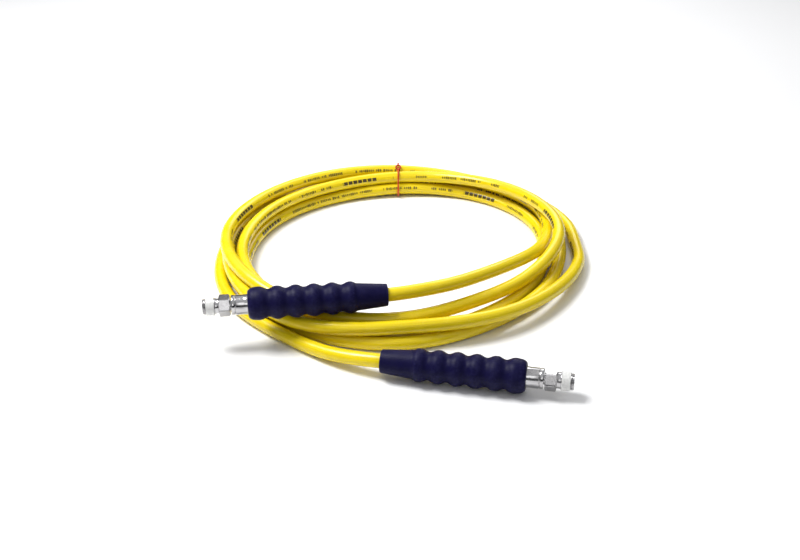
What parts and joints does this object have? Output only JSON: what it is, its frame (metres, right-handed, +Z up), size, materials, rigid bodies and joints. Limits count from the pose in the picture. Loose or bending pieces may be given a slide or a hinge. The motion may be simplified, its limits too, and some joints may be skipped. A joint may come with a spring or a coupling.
{
  "type": "hydraulic hose assembly",
  "caption": "Coiled high-pressure hydraulic hose with a ribbed grip, a crimped ferrule and a hex male pipe fitting at each end, held by a wire tie.",
  "frame": {"origin": "centre of the bounds at the surface that the coil lies on", "axes": "+Z up out of the coil, +Y from the fittings to the tie at the back of the coil, +X along the fitting of end B"},
  "size_m": [0.415, 0.4835, 0.0617],
  "materials": {
    "hose_jacket": "glossy yellow thermoplastic",
    "hose_braid": "braided high-tensile wire",
    "hose_core": "natural polyester tube",
    "grip": "satin dark blue rubber",
    "ferrule": "bright zinc plate, crimped",
    "nipple": "bright zinc plate, turned",
    "seal_tape": "matt white thread tape",
    "tie_wire": "red-orange plastic-coated wire"
  },
  "bodies": {
    "root": {"hose_jacket": "hose_jacket", "hose_braid": "hose_braid", "hose_core": "hose_core", "grip_a": "grip", "grip_b": "grip", "ferrule_a": "ferrule", "ferrule_b": "ferrule", "nipple_a": "nipple", "nipple_b": "nipple", "seal_tape_a": "seal_tape", "seal_tape_b": "seal_tape", "tie_wire": "tie_wire"}
  },
  "joints": []
}
